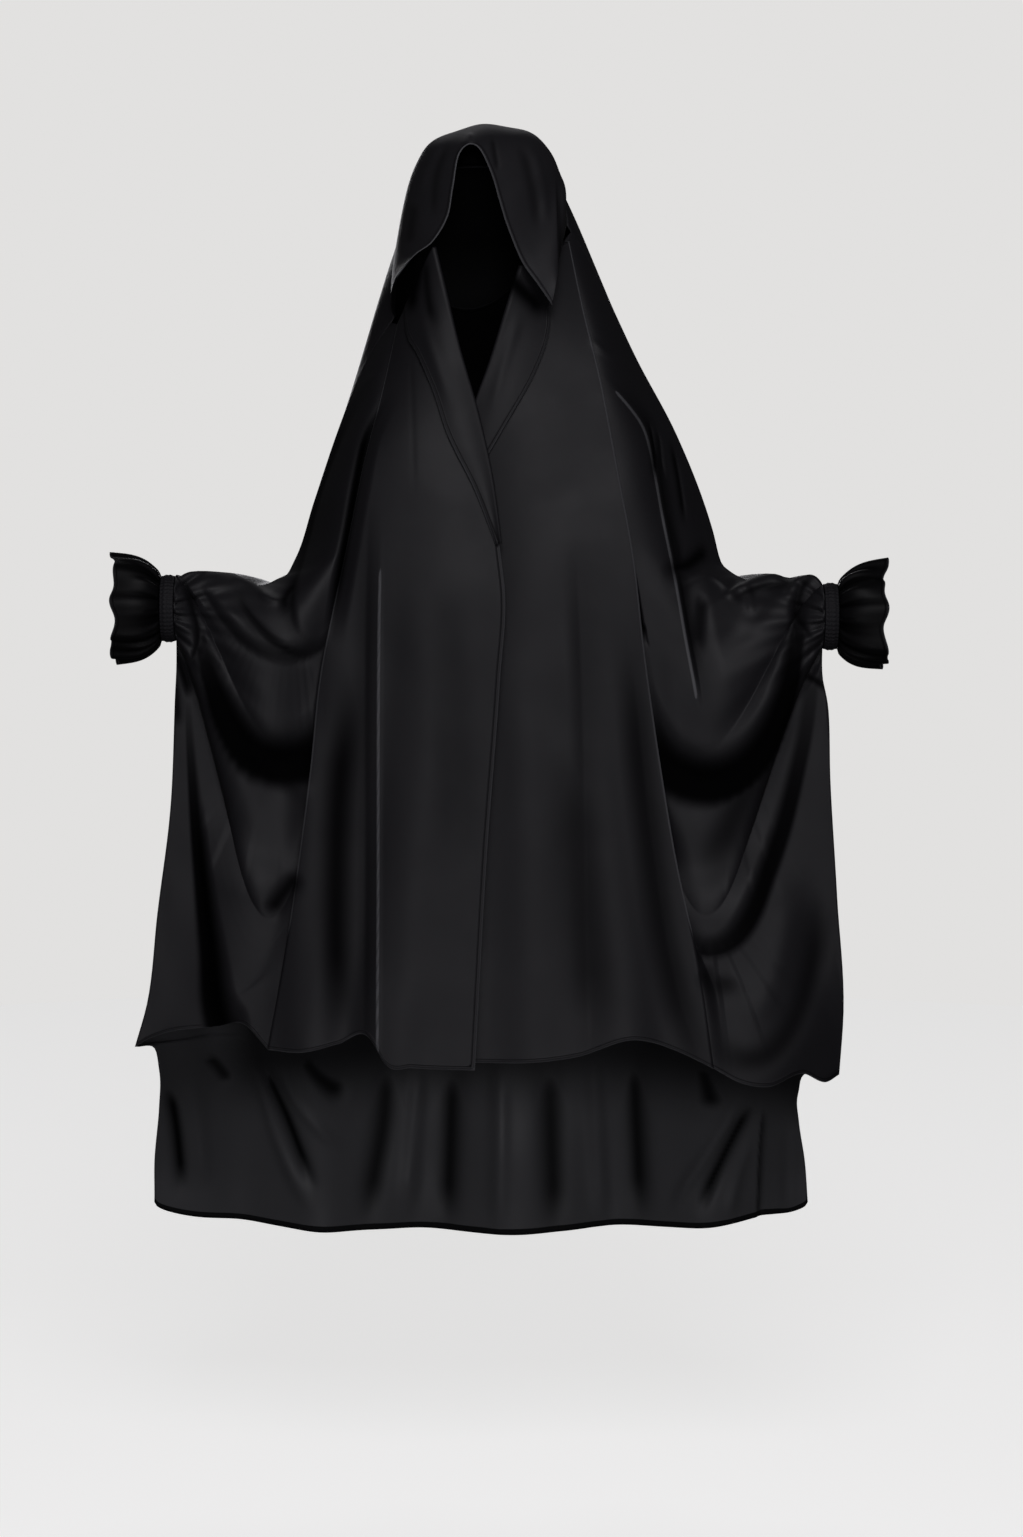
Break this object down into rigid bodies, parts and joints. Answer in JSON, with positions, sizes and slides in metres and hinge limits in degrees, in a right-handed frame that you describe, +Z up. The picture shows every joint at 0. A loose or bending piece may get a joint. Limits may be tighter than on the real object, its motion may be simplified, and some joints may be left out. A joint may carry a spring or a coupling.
{
  "type": "jilbab top",
  "caption": "Hooded bat-wing over-garment worn over head, shoulders and arms, with a turned-back front opening, swagged wings, elastic wrists and ruffled cuffs.",
  "frame": {"origin": "crown seat: where the top of the head meets the inside of the hood", "axes": "+Z up; the wearer faces -Y, so the wearer's left is +X and the long back hem lies towards +Y"},
  "size_m": [0.9744, 0.4908, 1.4873],
  "materials": {
    "satin": "black satin-backed crepe with a soft sheen",
    "elastic": "black shirred elastic"
  },
  "bodies": {
    "root": {"hood": "satin", "forehead_band": "satin", "throat_panel": "satin", "lapel_left": "satin", "lapel_right": "satin", "front_panel_left": "satin", "front_panel_right": "satin", "wing_left": "satin", "wing_right": "satin", "back_panel": "satin", "wrist_elastic_left": "elastic", "wrist_elastic_right": "elastic", "cuff_ruffle_left": "satin", "cuff_ruffle_right": "satin"}
  },
  "joints": []
}
